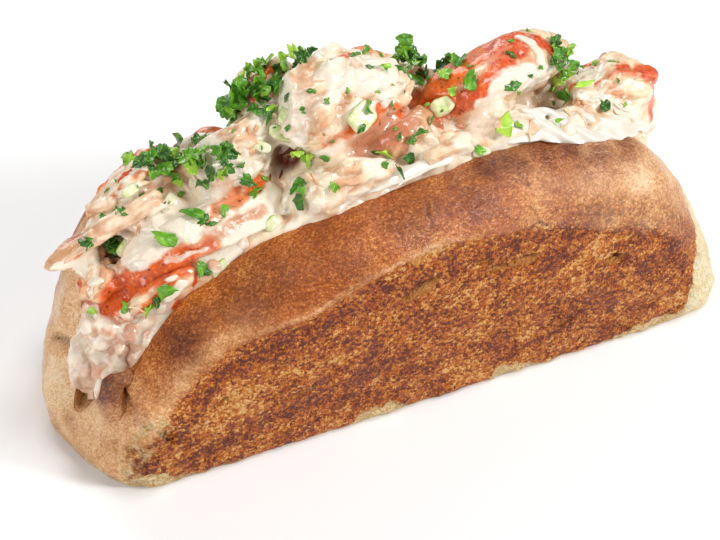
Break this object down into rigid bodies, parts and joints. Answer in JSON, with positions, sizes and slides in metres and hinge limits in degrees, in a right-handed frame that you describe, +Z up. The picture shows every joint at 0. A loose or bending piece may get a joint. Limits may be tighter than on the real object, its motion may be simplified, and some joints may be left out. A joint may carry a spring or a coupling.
{
  "type": "lobster roll",
  "caption": "Lobster roll: a toasted top-split bun filled along its cleft with creamy lobster salad, claw and tail meat, celery and parsley.",
  "frame": {"origin": "middle of the flat base, at the centre of the bun's length and width", "axes": "+X along the bun, +Y away from the toasted side that is seen, +Z up"},
  "size_m": [0.157, 0.0546, 0.0751],
  "materials": {
    "crust": "baked golden-brown bread crust with griddled sides and pale crumb edges",
    "salad": "glossy cream-white mayonnaise dressing",
    "tail": "moist fibrous white lobster tail meat with pink-red skin marks",
    "claw": "moist smooth lobster claw meat, orange-red skin over white flesh",
    "knuckle": "moist salmon-coloured lobster knuckle and leg meat",
    "celery": "translucent pale green diced celery",
    "parsley": "fresh chopped flat green parsley leaf"
  },
  "bodies": {
    "root": {"bun": "crust", "salad": "salad", "claw": "claw", "claw_leaf": "claw", "claw_tip": "claw", "left_low": "claw", "back_right": "claw", "knuckle": "knuckle", "leg": "knuckle", "left_tip": "knuckle", "back_left": "knuckle", "tail_end": "tail", "tail_scrap": "tail", "tail_middle": "tail", "front_tail": "tail", "left_tail": "tail", "left_back_tail": "tail", "left_curl": "tail", "notch_piece": "tail", "rim_left": "tail", "rim_middle": "tail", "rim_right": "tail", "back_top": "tail", "back_middle": "tail"}
  },
  "joints": []
}
